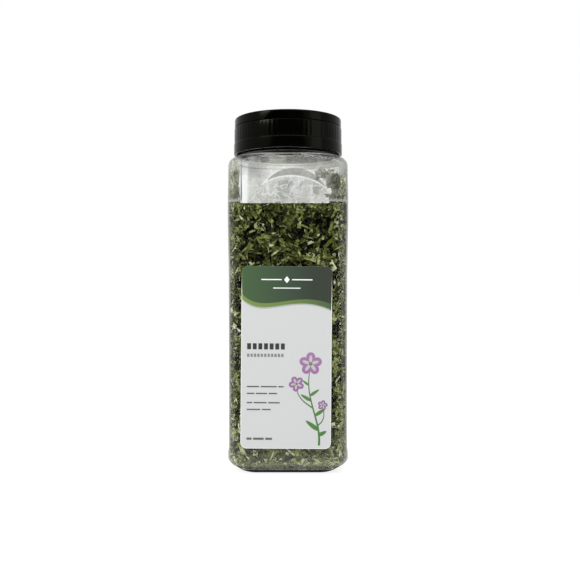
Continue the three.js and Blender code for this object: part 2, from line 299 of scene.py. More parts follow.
def makeCamera():
    lens = bpy.data.cameras.new("lens")
    lens.sensor_width = 36
    lens.lens = view["focalPixels"] / view["framePixels"] * lens.sensor_width
    middle = view["framePixels"] / 2
    lens.shift_x = (middle - view["axisColumn"]) / view["framePixels"]
    lens.shift_y = (view["eyeRow"] - middle) / view["framePixels"]
    lens.clip_start = 0.01
    camera = inScene("camera", lens)
    camera.location = (0, -view["distance"], view["eyeHeight"])
    camera.rotation_euler = (math.pi / 2, 0, 0)
    bpy.context.scene.camera = camera


studio = dict(
    floorSize=6.0,
    floorColour=(0.96, 0.96, 0.955),
    floorGlow=1.18,
    glowShare=0.7,
    skyBright=1.06,
    skyDark=0.0,
    darkCone=math.radians(38),  # half angle of the unlit part of the room, behind the camera
    coneSoftness=0.03,
    skyOnMatt=0.74,  # how much of the room's light falls on matt surfaces
    lampTarget=(0, 0, 0.11),
    # each soft light's place, width and height, and watts
    lamps=dict(
        softLeft=((-0.6, -0.5, 0.62), (0.3, 0.3), 4.2),
        softRight=((0.7, -0.4, 0.3), (0.35, 0.6), 1.3),
        softTop=((0, -0.1, 0.8), (0.6, 0.6), 4.6),
    ),
)


def makeWorld():
    world = bpy.data.worlds.new("studio")
    world.use_nodes = True
    bpy.context.scene.world = world
    tree = world.node_tree
    tree.nodes.clear()
    direction = addNode(tree, "ShaderNodeTexCoord").outputs["Generated"]
    away = maths(tree, "MULTIPLY", axesOf(tree, direction)["Y"], -1.0)
    edge, softness = math.cos(studio["darkCone"]), studio["coneSoftness"]
    beyond = maths(tree, "SUBTRACT", away, edge - softness)
    inCone = maths(tree, "MULTIPLY", beyond, 1 / (2 * softness), clamp=True)
    level = plus(tree, times(tree, inCone, studio["skyDark"] - studio["skyBright"]), studio["skyBright"])
    # the camera sees plain white, and matt surfaces get a share of the light
    rays = addNode(tree, "ShaderNodeLightPath").outputs
    plain = times(tree, rays["Is Camera Ray"], oneLess(tree, level))
    share = plus(tree, times(tree, rays["Is Diffuse Ray"], studio["skyOnMatt"] - 1), 1.0)
    strength = times(tree, plus(tree, level, plain), share)
    background = addNode(tree, "ShaderNodeBackground", {"Color": (1, 1, 1, 1), "Strength": strength})
    addNode(tree, "ShaderNodeOutputWorld", {"Surface": background.outputs[0]})


def makeFloor():
    material, tree = newMaterial("paleFloor")
    matt = addNode(tree, "ShaderNodeBsdfDiffuse", {"Color": (*studio["floorColour"], 1)})
    glow = addNode(tree, "ShaderNodeEmission", {"Color": (1, 1, 1, 1), "Strength": studio["floorGlow"]})
    surface(tree, mixedShader(tree, studio["glowShare"], matt, glow))
    bm = bmesh.new()
    bmesh.ops.create_grid(bm, x_segments=1, y_segments=1, size=studio["floorSize"] / 2)
    mesh = bpy.data.meshes.new("floor")
    bm.to_mesh(mesh)
    bm.free()
    mesh.materials.append(material)
    floor = inScene("floor", mesh)


def makeLights():
    for name, (place, size, watts) in studio["lamps"].items():
        lamp = bpy.data.lights.new(name, "AREA")
        lamp.shape = "RECTANGLE"
        lamp.size, lamp.size_y = size
        lamp.energy = watts
        light = inScene(name, lamp)
        light.location = place
        ahead = Vector(studio["lampTarget"]) - Vector(place)
        light.rotation_euler = ahead.to_track_quat("-Z", "Y").to_euler()


bpy.context.scene.view_settings.view_transform = "Standard"
bpy.context.scene.cycles.transparent_max_bounces = 24
makeCamera()
makeWorld()
makeFloor()
makeLights()
print("stage: camera, floor and lights")


# Jar

jar = dict(
    neckRadius=30.2,
    around=128,
    threadRadius=31.3,
    threadStart=198.2,
    threadPitch=5.3,
    threadTurns=1.15,
    threadSteps=96,
    threadSunk=0.3,  # how far its foot lies inside the neck
    threadFoot=1.3,  # half its height there
    threadCrest=0.5,  # and at its crest
    # half width, level, fillet and corner share from the middle of the base up the outside
    outside=[
        [0, 2.2, 0, 0.25],
        [18.6, 1.6, 2, 0.25],
        [22.8, 0, 0.8, 0.25],
        [28.2, 0, 0.9, 0.36],
        [33.6, 4.6, 4, 0.28],
        [35.75, 7.6, 4, 0.25],
        [35.75, 12.4, 2, 0.25],
        [35.4, 14.6, 2, 0.25],
        [35.4, 118, 8, 0.25],
        [35.97, 150, 8, 0.25],
        [35.97, 163, 8, 0.25],
        [35.72, 175, 6, 0.25],
        [35.65, 183.5, 4, 0.25],
        [35.15, 186, 4, 0.31],
        [34.3, 188.2, 4, 0.48],
        [33.05, 190.2, 4, 0.69],
        [31.8, 191.6, 3, 0.86],
        [31, 192.3, 1, 0.95],
        [30.2, 193, 0.4, 1],
        [30.2, 208.5, 0.4, 1],
    ],
    # the same down the inside
    inside=[
        [28.9, 208.5, 0.4, 1],
        [28.9, 192.8, 1, 1],
        [30.3, 191.6, 1, 0.95],
        [31.4, 190.8, 3, 0.86],
        [32.6, 189.4, 4, 0.69],
        [33.7, 187.6, 4, 0.48],
        [34.5, 185.6, 4, 0.3],
        [35.0, 183.2, 4, 0.24],
        [35.07, 175, 6, 0.24],
        [35.32, 163, 8, 0.24],
        [35.32, 150, 8, 0.24],
        [34.75, 118, 8, 0.24],
        [34.75, 14.8, 2, 0.24],
        [35.1, 12.6, 2, 0.24],
        [35.1, 8, 4, 0.24],
        [33.1, 5.1, 4, 0.24],
        [26.9, 0.9, 1, 0.24],
        [22.9, 0.9, 0.8, 0.24],
        [18.8, 2.5, 2, 0.24],
        [0, 3.1, 0, 0.24],
    ],
)


def threadRidge():
    # a trapezoid section swept up the neck
    bm = bmesh.new()
    low, high = jar["neckRadius"] - jar["threadSunk"], jar["threadRadius"]
    foot, crest = jar["threadFoot"], jar["threadCrest"]
    section = [(low, -foot), (high, -crest), (high, crest), (low, foot)]
    start = bm.faces.new([bm.verts.new((r, 0, jar["threadStart"] + z)) for r, z in section])
    steps = jar["threadSteps"]
    rise = jar["threadPitch"] * jar["threadTurns"]
    bmesh.ops.spin(
        bm, geom=[start, *start.edges, *start.verts], cent=(0, 0, 0), axis=(0, 0, 1),
        dvec=(0, 0, rise / steps), angle=fullTurn * jar["threadTurns"], steps=steps, use_merge=False,
    )
    bmesh.ops.recalc_face_normals(bm, faces=bm.faces)
    return bm


# a pair of numbers is where something starts to show and where it is whole
dustAndHighlights = dict(
    level=(160, 163),
    # a band beside the left front corner stays clean, and so does the back wall behind it, so that it shows
    # as a painted highlight streak
    bandMiddle=27.8,
    bandLean=0.063,
    bandEdge=(1.5, 3.0),
    # thin winding lines wiped through it: the size and reach of their bends, their spacing and their width
    bendScale=75,
    bendReach=0.03,
    lineScale=125,
    lineWidth=(0.0, 0.1),  # as a share of the spacing
    lineDust=0.25,
    patchScale=50,
    patchEdge=(0.4, 0.66),  # of the noise
    patchDust=0.42,
    evenDust=0.04,
    backWall=30,
    backDust=0.1,
    rightCorner=((29, 25), 0.25),
    leftCorner=((-28.5, -27), 0.5),
    shoulder=(190, 182),
    # a soft ragged veil under the shoulder of the front
    frontWall=-30,
    veilScale=120,
    veilRagged=16,
    veilFoot=(186, 190),
    veilTop=(196, 190),
    veilDust=0.4,
    veilRight=(3, 12),
    veilLess=0.2,
    # a light band just above the fill level
    levelBandFoot=(160.8, 161.2),
    levelBandTop=(163, 161.8),
    levelBandShare=0.3,
    # two thin painted highlights round the top of the shoulder
    highlightLines=(192.0, 189.8),
    highlightHalf=0.25,
    highlightShare=0.35,
)

crescent = dict(
    # a painted shadow of the neck and cap on the back wall, with painted light lines along its rim, inside
    # one circle and outside another: middles and radii
    inside=((4, 35, 165.5), 25.4),
    outside=((2, 35, 147.2), 38.6),
    edge=(0.0, 0.5),
    rim=(1.1, 0.5),
    rimRight=(28, 22),
    rimLight=0.95,
    # how dark the painted shadow inside the crescent is
    dark=0.45,
)

darkParts = dict(
    # painted shade: a thin dark line where the front left corner starts
    shadeLineMiddle=-27.4,
    shadeLineHalf=0.33,
    shadeLineLevel=(187, 168),
    shadeLine=0.75,
    # painted shadow of the cap on the back of the shoulder on the right
    rearWall=8,
    rearLevel=(189, 191),
    rearRight=(2, 14),
    rearShade=0.4,
    # a patch of the front on the left
    blotMiddle=(-20, -35, 180.5),
    blotEdge=(10, 3),
    blot=0.28,
)

# painted shadow: a dark tint on the jar's foot stands in for its contact shadow on the floor
footShadow = dict(
    level=(2.8, 1.9),
    half=28,
    squareness=8.0,
    lean=21.4,  # how fast the outside widens over the ring
    outside=0.996,
    colour=(0.02, 0.02, 0.02, 1),
)

clearLook = dict(
    # painted shade: the wall seen edge-on is tinted darker, standing in for the dark edges that refraction
    # gives
    edgeShade=(0.5, 0.51, 0.49),
    faceTint=(0.98, 0.985, 0.98),
    edgePower=2.5,
    darkTint=(0.1, 0.1, 0.1, 1),
    dustColour="babbb3",
    edgeHaze=0.06,
    footHaze=((30, 8), 0.05),
    mirrorMost=0.3,
    mirrorShare=0.15,
    roughness=0.06,
    refraction=1.45,
    waveScale=40,
    waveStrength=0.08,
    waveDepth=3,
)


def crescentMark(tree, place, x):
    # how far inside the crescent a point is, and how near its edge
    away = [
        maths(tree, "SUBTRACT", distanceFrom(tree, place, middle), radius * mm)
        for middle, radius in (crescent["inside"], crescent["outside"])
    ]
    depth = maths(tree, "MINIMUM", times(tree, away[0], -1.0), away[1])
    nearEdge = ramped(tree, maths(tree, "ABSOLUTE", depth), crescent["rim"])
    return ramped(tree, depth, crescent["edge"]), times(tree, nearEdge, ramped(tree, x, crescent["rimRight"]))


def wallDustAndHighlights(tree, bent, x, level, overFill, clean, front, back, rim):
    # how much dust a point of the wall carries, with the painted highlight lines round the shoulder added
    values = {"Vector": bent, "Scale": dustAndHighlights["lineScale"]}
    lines = addNode(tree, "ShaderNodeTexVoronoi", values, feature="DISTANCE_TO_EDGE").outputs["Distance"]
    patches = ramped(tree, noiseOn(tree, bent, dustAndHighlights["patchScale"], 5, 0.7), dustAndHighlights["patchEdge"], 1)
    onBack = times(tree, back, dustAndHighlights["backDust"])
    smear = plus(tree, times(tree, patches, dustAndHighlights["patchDust"]), dustAndHighlights["evenDust"], onBack)
    smear = times(tree, smear, atLeast(tree, ramped(tree, lines, dustAndHighlights["lineWidth"], 1), dustAndHighlights["lineDust"]))
    for span, least in (dustAndHighlights["rightCorner"], dustAndHighlights["leftCorner"]):
        smear = times(tree, smear, atLeast(tree, ramped(tree, x, span), least))
    smear = times(tree, smear, ramped(tree, level, dustAndHighlights["shoulder"]))
    # the crescent's rim is left without dust, as painted light lines
    smear = times(tree, smear, oneLess(tree, times(tree, rim, back, crescent["rimLight"])))

    noise = noiseOn(tree, bent, dustAndHighlights["veilScale"], 4)
    ragged = plus(tree, times(tree, noise, dustAndHighlights["veilRagged"] * mm), level)
    veil = times(tree, ramped(tree, ragged, dustAndHighlights["veilFoot"]), ramped(tree, ragged, dustAndHighlights["veilTop"]), front)
    less = times(tree, ramped(tree, x, dustAndHighlights["veilRight"]), dustAndHighlights["veilLess"])
    veil = times(tree, veil, maths(tree, "SUBTRACT", dustAndHighlights["veilDust"], less))
    levelBand = times(tree, ramped(tree, level, dustAndHighlights["levelBandFoot"]), ramped(tree, level, dustAndHighlights["levelBandTop"]))
    levelBand = times(tree, levelBand, dustAndHighlights["levelBandShare"])
    onWall = plus(tree, times(tree, maths(tree, "MAXIMUM", smear, veil), overFill), levelBand)
    # painted highlight lines round the shoulder
    highlightLines = plus(tree, *(isNear(tree, level, height, dustAndHighlights["highlightHalf"]) for height in dustAndHighlights["highlightLines"]))
    return plus(tree, times(tree, onWall, clean), times(tree, highlightLines, dustAndHighlights["highlightShare"]))


def darkened(tree, place, x, y, level, overFill, clean, front, inCrescent):
    # how dark a point of the wall is: painted shade along the front left corner, on the back shoulder and
    # inside the crescent, and a darker patch at the front left
    # painted shade along the start of the front left corner
    shadeLine = isNear(tree, x, darkParts["shadeLineMiddle"], darkParts["shadeLineHalf"])
    shadeLine = times(tree, shadeLine, front, overFill, ramped(tree, level, darkParts["shadeLineLevel"]), darkParts["shadeLine"])
    # painted shadow of the cap on the back shoulder
    rearShade = times(tree, maths(tree, "GREATER_THAN", y, darkParts["rearWall"] * mm), darkParts["rearShade"])
    rearShade = times(tree, rearShade, ramped(tree, level, darkParts["rearLevel"]))
    rearShade = times(tree, rearShade, ramped(tree, x, darkParts["rearRight"]))
    blot = ramped(tree, distanceFrom(tree, place, darkParts["blotMiddle"]), darkParts["blotEdge"])
    blot = times(tree, blot, clean, darkParts["blot"])
    return plus(tree, shadeLine, times(tree, inCrescent, crescent["dark"]), rearShade, blot)


def onFootShadow(tree, x, y, level):
    # the lowest part of the outside, where the jar stands, tinted dark as a painted contact shadow: a rounded
    # square that widens as it rises
    power = footShadow["squareness"]
    sides = [times(tree, maths(tree, "ABSOLUTE", side), 1 / (footShadow["half"] * mm)) for side in (x, y)]
    total = plus(tree, *(maths(tree, "POWER", side, power) for side in sides))
    reach = maths(tree, "POWER", total, 1 / power)
    widened = plus(tree, reach, times(tree, level, -footShadow["lean"]))
    outer = maths(tree, "GREATER_THAN", widened, footShadow["outside"])
    return times(tree, ramped(tree, level, footShadow["level"]), outer)


def clearPlastic():
    material, tree = newMaterial("clearJarPlastic")
    place = objectPlace(tree)
    x, y, level = axesOf(tree, place)
    overFill = ramped(tree, level, dustAndHighlights["level"])
    # a clear band beside the left front corner, shown as a painted highlight streak
    fromBand = plus(tree, x, dustAndHighlights["bandMiddle"] * mm, times(tree, y, dustAndHighlights["bandLean"]))
    clean = ramped(tree, maths(tree, "ABSOLUTE", fromBand), dustAndHighlights["bandEdge"])
    front = maths(tree, "LESS_THAN", y, dustAndHighlights["frontWall"] * mm)
    back = maths(tree, "GREATER_THAN", y, dustAndHighlights["backWall"] * mm)
    values = {"Vector": place, "Scale": dustAndHighlights["bendScale"], "Detail": 2}
    bends = addNode(tree, "ShaderNodeTexNoise", values).outputs["Color"]
    values = {0: bends, 1: [dustAndHighlights["bendReach"]] * 3, 2: place}
    bent = addNode(tree, "ShaderNodeVectorMath", values, operation="MULTIPLY_ADD").outputs[0]

    inside, rim = crescentMark(tree, place, x)
    # dust on the wall, with painted highlight lines round the shoulder
    wallHazeAndHighlight = wallDustAndHighlights(tree, bent, x, level, overFill, clean, front, back, rim)
    dark = darkened(tree, place, x, y, level, overFill, clean, front, times(tree, inside, back))
    # painted contact shadow on the foot, which also gets no haze or reflection
    foot = onFootShadow(tree, x, y, level)
    outsideFootShadow = oneLess(tree, foot)

    wave = noiseOn(tree, bent, clearLook["waveScale"], 2)
    bump = bumped(tree, wave, clearLook["waveStrength"], clearLook["waveDepth"])
    # painted shade towards the edges seen edge-on
    facing = addNode(tree, "ShaderNodeLayerWeight", {"Blend": 0.5}).outputs["Facing"]
    grazing = maths(tree, "POWER", facing, clearLook["edgePower"])
    tint = colourRamp(tree, grazing, [(0.0, clearLook["faceTint"]), (1.0, clearLook["edgeShade"])])
    # the painted shade and the darker patch darken the plastic's tint
    tint = mixedColour(tree, dark, mixedColour(tree, foot, tint, footShadow["colour"]), clearLook["darkTint"])
    through = addNode(tree, "ShaderNodeBsdfTransparent", {"Color": tint})
    haze = addNode(tree, "ShaderNodeBsdfDiffuse", {"Color": (*hexColour(clearLook["dustColour"]), 1)})
    span, most = clearLook["footHaze"]
    atFoot = times(tree, ramped(tree, level, span), most)
    faint = plus(tree, times(tree, grazing, clearLook["edgeHaze"]), atFoot)
    share = times(tree, maths(tree, "ADD", faint, wallHazeAndHighlight, clamp=True), outsideFootShadow)
    clear = mixedShader(tree, share, through, haze)

    values = {"Color": (1, 1, 1, 1), "Roughness": clearLook["roughness"], "Normal": bump}
    gloss = addNode(tree, "ShaderNodeBsdfGlossy", values)
    mirror = addNode(tree, "ShaderNodeFresnel", {"IOR": clearLook["refraction"], "Normal": bump}).outputs[0]
    mirror = times(tree, maths(tree, "MINIMUM", mirror, clearLook["mirrorMost"]), clearLook["mirrorShare"])
    surface(tree, mixedShader(tree, times(tree, mirror, outsideFootShadow), clear, gloss))
    return material


def makeJar():
    bm = spun(filleted(jar["outside"] + jar["inside"]), jar["around"])
    squaredUp(bm, jar["around"])
    stuff = clearPlastic()
    finished("jarShell", bm, stuff, "jar", ["jar"], smooth=50)
    finished("neckThread", threadRidge(), stuff, "jar", ["jar"], smooth=50)


makeJar()
print("stage: jar")


# Flakes

flakes = dict(
    gap=0.1,  # to the jar's inner wall
    # the wall is the part of the inside beyond this half width and under this level
    wallHalf=23,
    wallTop=192,
    fill=160.2,
    baseHalves=[18.8, 22.9],  # half widths where the raised middle of the base ends and its ring starts
    baseLevels=[3.3, 1.1],
    footLevels=[3, 8],  # between these the wall turns under
    footTurn=0.4,
    seed=4071,
    # how often each kind comes, and its shortest and longest
    kinds=dict(
        torn=(0.26, 2.8, 7.2),
        chip=(0.10, 1.8, 4.2),
        curl=(0.21, 2.6, 6.4),
        strip=(0.24, 3.2, 8.4),
        shred=(0.17, 3.2, 9.0),
        ring=(0.02, 2.4, 3.8),
    ),
    shortMore=1.4,  # above 1, short ones come more often than long ones
    shapesPerKind=5,
    # columns, rows, width, bow, twist, how tightly it curls, and thickness, for a flake 1 long
    shapes=dict(
        torn=(2, 2, 0.7, 0.5, 0.7, 0.8, 0.07),
        chip=(1, 2, 0.75, 0.5, 0.5, 0, 0.09),
        curl=(3, 1, 0.8, 0.2, 0.6, 4.2, 0.075),
        strip=(1, 3, 0.24, 0.9, 1.8, 0, 0.06),
        shred=(1, 2, 0.12, 0.9, 1.2, 0, 0.05),
    ),
    ringThickness=0.07,
    raggedEdge=0.26,
    raggedMiddle=0.1,
    uneven=0.08,
    slant=1.1,
)

# Where they lie. Most fill the space behind the wall, and the rest close its top, its foot and its base.
wallLayer = dict(
    count=19500,
    lowest=2.2,
    underFill=0.6,
    depth=3.0,  # how far the loose layer reaches in from the wall
    nearMore=1.1,
    tip=0.34,
    tipPerDepth=0.2,
    looseLevels=[0, 60, 110, 160],
    loose=[0.7, 0.9, 1.3, 1.5],
)
brimLayer = dict(count=1200, levels=(158.4, 161), depth=2.6, tip=0.3)
topLayer = dict(count=2000, half=33.5, underFill=0.2, depth=0.8, tip=0.55)
# shade scales a flake's depth for its painted shade
heelLayer = dict(count=1500, levels=(1.3, 9), depth=1.8, tip=0.4, shade=0.4, ceiling=30)
baseLayer = dict(count=900, half=27.5, lowest=1.3, depth=2.6, tip=0.2, shade=0.4, ceiling=20)
clingLayer = dict(
    count=1700,  # for a bank all the way round
    # each bank's start and end as shares of the way round, its top at both, its thickness and its foot
    banks=[
        (0.0, 0.2, 172, 184, 1.6, 160.2),
        (0.2, 0.229, 186, 188, 4.2, 160.2),
        (0.222, 0.24, 188, 188, 1.3, 179),
        (0.58, 0.705, 181, 184, 2.7, 160.2),
    ],
    lowMore=1.3,
    nearest=0.1,
    depth=1.2,
    tip=0.36,
    tipMost=0.28,
    ceiling=190,
)

flakeTone = dict(
    # lighter by level: partly the flakes' own paler tone near the foot, partly painted light on the downward
    # heel and on clinging flakes seen from their unlit side
    lightLevels=[3, 6, 12, 22, 60, 90, 125, 150, 160, 163],
    lighter=[0.4, 0.28, 0.23, 0.14, 0.03, 0.03, 0.07, 0.06, 0.0, 0.12],
    spreadLevels=[20, 40, 95, 125, 160, 163],
    spread=[0.88, 1, 1, 0.88, 0.88, 1],
    cornerFrom=25,
    cornerLighter=0.16,
    # painted shade: flakes that lie deeper behind others are darkened
    depthShadeDepths=[0.6, 1.7],
    depthShade=0.94,
    mix=(1.3, 1.8),
    darkest=0.02,
    blotches=0.14,
    # painted highlight where light catches the flakes' cut edges
    edgeHighlight=0.42,  # how much lighter the cut edges are
    stops=[
        (0.0, "030401"), (0.1, "1f220c"), (0.27, "41461c"), (0.47, "61682e"), (0.68, "848b4c"),
        (0.86, "abb07a"), (1.0, "d8d9bc"),
    ],
    patchScale=800,
    wander=0.65,
    grainScale=2800,
    grain=0.6,
    grainDepth=0.3,
    roughness=0.55,
    shine=0.12,
)


def insideWall(z):
    # half width and corner radius of the space inside the jar at each level
    rows = [row for row in jar["inside"][:0:-1] if row[0] > flakes["wallHalf"] and row[1] < flakes["wallTop"]]
    halves, levels, _, shares = np.array(rows).T
    return np.interp(z, levels, halves) - flakes["gap"], np.interp(z, levels, halves * shares)


def outsideBy(points):
    # how far each point lies beyond the space inside the jar's walls
    half, corner = insideWall(points[..., 2])
    dx = np.maximum(np.abs(points[..., 0]) - half + corner, 0)
    dy = np.maximum(np.abs(points[..., 1]) - half + corner, 0)
    return np.hypot(dx, dy) - corner


def belowBy(points):
    # how far each point lies under the inside of the base
    half = np.maximum(np.abs(points[..., 0]), np.abs(points[..., 1]))
    return np.interp(half, flakes["baseHalves"], flakes["baseLevels"]) - points[..., 2]


def wallPlaces(share, z):
    # points on the inner wall and their outward normals, share 0 to 1 once round from the +X side's front end
    half, corner = insideWall(z)
    flat = 2 * (half - corner)
    arc = corner * math.pi / 2
    side = np.floor(share * 4)
    along = (share * 4 - side) * (flat + arc)
    bend = np.maximum(along - flat, 0) / corner
    x = half - corner + corner * np.cos(bend)
    y = np.minimum(along, flat) - flat / 2 + corner * np.sin(bend)
    turn = side * math.pi / 2
    c, s = np.cos(turn), np.sin(turn)
    points = np.stack([x * c - y * s, x * s + y * c, z], -1)
    down = np.interp(z, flakes["footLevels"], [flakes["footTurn"], 0])
    normals = np.stack([np.cos(bend + turn), np.sin(bend + turn), -down], -1)
    return points, normals / np.linalg.norm(normals, axis=1, keepdims=True)


def flakeShape(kind, random):
    # one closed flake about 1 long, flat on XY, and which of its faces are its cut edges
    bm = bmesh.new()
    if kind == "ring":
        bmesh.ops.create_cone(
            bm, cap_ends=False, segments=7, radius1=0.42, radius2=0.38, depth=0.4 + 0.3 * random.random(),
        )
        bmesh.ops.scale(bm, vec=(1, 0.5 + 0.4 * random.random(), 1), verts=bm.verts)
        thickness = flakes["ringThickness"]
    else:
        columns, rows, width, bow, twist, trough, thickness = flakes["shapes"][kind]
        bmesh.ops.create_grid(bm, x_segments=columns, y_segments=rows, size=0.5)
        bmesh.ops.scale(bm, vec=(width * (0.75 + 0.5 * random.random()), 1, 1), verts=bm.verts)
        bow *= random.random() - 0.4
        twist *= random.random() - 0.5
        trough *= 0.4 + 0.8 * random.random()
        slant = (random.random() - 0.5) * flakes["slant"]
        for vert in bm.verts:
            x, y = vert.co.x, vert.co.y
            ragged = flakes["raggedEdge"] if vert.is_boundary else flakes["raggedMiddle"]
            y += slant * x + ragged * (random.random() - 0.5)
            x += ragged * width * (random.random() - 0.5)
            lift = bow * 2 * y * y + flakes["uneven"] * (random.random() - 0.5)
            if trough:
                radius = 1 / trough
                lift += radius - radius * math.cos(x / radius)
                x = radius * math.sin(x / radius)
            c, s = math.cos(twist * y), math.sin(twist * y)
            vert.co = (x * c - lift * s, y, x * s + lift * c)
    bothSides = 2 * len(bm.faces)
    bmesh.ops.solidify(bm, geom=bm.faces[:], thickness=thickness)
    bmesh.ops.recalc_face_normals(bm, faces=bm.faces)
    middle = sum((v.co for v in bm.verts), Vector()) / len(bm.verts)
    bmesh.ops.translate(bm, vec=-middle, verts=bm.verts)
    bm.verts.index_update()
    points = np.array([v.co[:] for v in bm.verts])
    # solidify leaves the rim's faces in any order, and each draws its own tone, so they are sorted
    whole = list(bm.faces)
    rim = sorted(whole[bothSides:], key=lambda face: sorted(v.index for v in face.verts))
    inOrder = whole[:bothSides] + rim
    faces = [[v.index for v in face.verts] for face in inOrder]
    cut = np.array([min(edge.calc_length() for edge in face.edges) < 1.5 * thickness for face in inOrder])
    bm.free()
    return points, faces, cut


def turnsFrom(normals, tips, random):
    # rotation matrices that lay a flake's flat side on each normal, spin it and tip it
    helper = random.normal(size=(len(normals), 3))
    across = np.cross(normals, helper)
    across /= np.linalg.norm(across, axis=1, keepdims=True)
    along = np.cross(normals, across)
    c, s = np.cos(tips)[:, None], np.sin(tips)[:, None]
    return np.stack([across, along * c + normals * s, normals * c - along * s], -1)


def flattened(spots):
    # directions turned level
    return np.column_stack([spots[:, :2], np.zeros(len(spots))])


def outwards(spots):
    flat = spots[:, :2]
    return flattened(flat / np.linalg.norm(flat, axis=1, keepdims=True))


def scattered(random):
    # every flake's middle, facing, tip from that, the way to draw it back, depth and ceiling
    rows = []
    fill = flakes["fill"]

    def add(centres, facing, tips, drawn, depth, ceiling=fill):
        rows.append((centres, facing, tips, drawn, depth, np.full(len(centres), ceiling)))

    def behindWall(layer):
        share = random.random(layer["count"])
        points, facing = wallPlaces(share, random.uniform(*layer["levels"], layer["count"]))
        depth = layer["depth"] * random.random(layer["count"])
        return points, facing, depth, points - facing * depth[:, None]

    def normalTips(layer):
        return random.normal(0, layer["tip"], layer["count"])

    layer, count = wallLayer, wallLayer["count"]
    z = random.uniform(layer["lowest"], fill - layer["underFill"], count)
    points, facing = wallPlaces(random.random(count), z)
    depth = layer["depth"] * random.random(count) ** layer["nearMore"]
    loose = np.interp(z, layer["looseLevels"], layer["loose"])
    tips = random.normal(0, 1, count) * (layer["tip"] + layer["tipPerDepth"] * depth) * loose
    add(points - facing * depth[:, None], facing, tips, flattened(facing), depth)

    points, facing, depth, centres = behindWall(brimLayer)
    add(centres, facing, normalTips(brimLayer), facing, depth)

    layer, count = topLayer, topLayer["count"]
    spots = random.uniform(-layer["half"], layer["half"], (count, 2))
    level = fill - layer["underFill"] - layer["depth"] * random.random(count)
    up = np.tile([0.0, 0.0, 1.0], (count, 1))
    add(np.column_stack([spots, level]), up, normalTips(layer), outwards(spots), np.zeros(count))

    layer = heelLayer
    points, facing, depth, centres = behindWall(layer)
    add(centres, facing, normalTips(layer), outwards(points), layer["shade"] * depth, layer["ceiling"])

    layer, count = baseLayer, baseLayer["count"]
    spots = random.uniform(-layer["half"], layer["half"], (count, 2))
    level = layer["lowest"] + layer["depth"] * random.random(count)
    depth = layer["shade"] * (level - layer["lowest"])
    down = np.tile([0.0, 0.0, -1.0], (count, 1))
    add(np.column_stack([spots, level]), down, normalTips(layer), outwards(spots), depth, layer["ceiling"])

    # flakes that cling to the bare walls: on the right, thickest in its back corner, and on the left
    layer = clingLayer
    for start, end, first, last, often, foot in layer["banks"]:
        count = round(layer["count"] * (end - start) * often)
        share = random.uniform(start, end, count)
        top = first + (last - first) * (share - start) / (end - start)
        z = foot + (top - foot) * random.random(count) ** layer["lowMore"]
        points, facing = wallPlaces(share, z)
        depth = layer["nearest"] + layer["depth"] * random.random(count)
        tips = np.clip(random.normal(0, layer["tip"], count), -layer["tipMost"], layer["tipMost"])
        add(points - facing * depth[:, None], facing, tips, facing, np.zeros(count), layer["ceiling"])
    return map(np.concatenate, zip(*rows))


def flakeStuff(name, stops, shade=1.0):
    # each flake has its own tone, and its colour wanders a little from that
    material, tree = newMaterial(name)
    place = objectPlace(tree)
    own = addNode(tree, "ShaderNodeAttribute", attribute_name="tone").outputs["Fac"]
    patches = maths(tree, "SUBTRACT", noiseOn(tree, place, flakeTone["patchScale"]), 0.5)
    tone = maths(tree, "ADD", own, times(tree, patches, flakeTone["wander"]), clamp=True)
    colour = colourRamp(tree, tone, [(at, tuple(shade * c for c in hexColour(text))) for at, text in stops])
    grain = noiseOn(tree, place, flakeTone["grainScale"])
    bump = bumped(tree, grain, flakeTone["grain"], flakeTone["grainDepth"])
    principled(tree, colour, flakeTone["roughness"], flakeTone["shine"], bump)
    return material


def placedFlakes(shape, centres, turns, sizes, drawn, ceiling):
    # copies of one shape, drawn back until they lie inside the walls, above the base and below their ceiling
    placed = np.einsum("nij,vj->nvi", turns, shape) * sizes[:, None, None] + centres[:, None, :]
    for _ in range(4):
        beyond = np.maximum(outsideBy(placed).max(1), 0)
        placed -= drawn[:, None, :] * beyond[:, None, None]
        placed[..., 2] += np.maximum(belowBy(placed).max(1), 0)[:, None]
        placed[..., 2] -= np.maximum(placed[..., 2].max(1) - ceiling, 0)[:, None]
    return placed


def flakeTones(centres, depth, random):
    # 0 is dark and 1 pale: paler near the foot, partly their own paler tone and partly painted light where
    #                       little light reaches, paler in the corners, and darkened as painted shade where
    #                       others lie in front
    look = flakeTone
    z = centres[:, 2]
    lighter = np.interp(z, look["lightLevels"], look["lighter"])
    spread = np.interp(z, look["spreadLevels"], look["spread"])
    inCorner = np.abs(centres[:, :2]).min(1) > look["cornerFrom"]
    unshaded = 1 - look["depthShade"] * np.interp(depth, look["depthShadeDepths"], [0, 1])
    tone = spread * random.beta(*look["mix"], len(z)) + lighter + look["cornerLighter"] * inCorner
    return np.maximum(tone, look["darkest"]) * unshaded


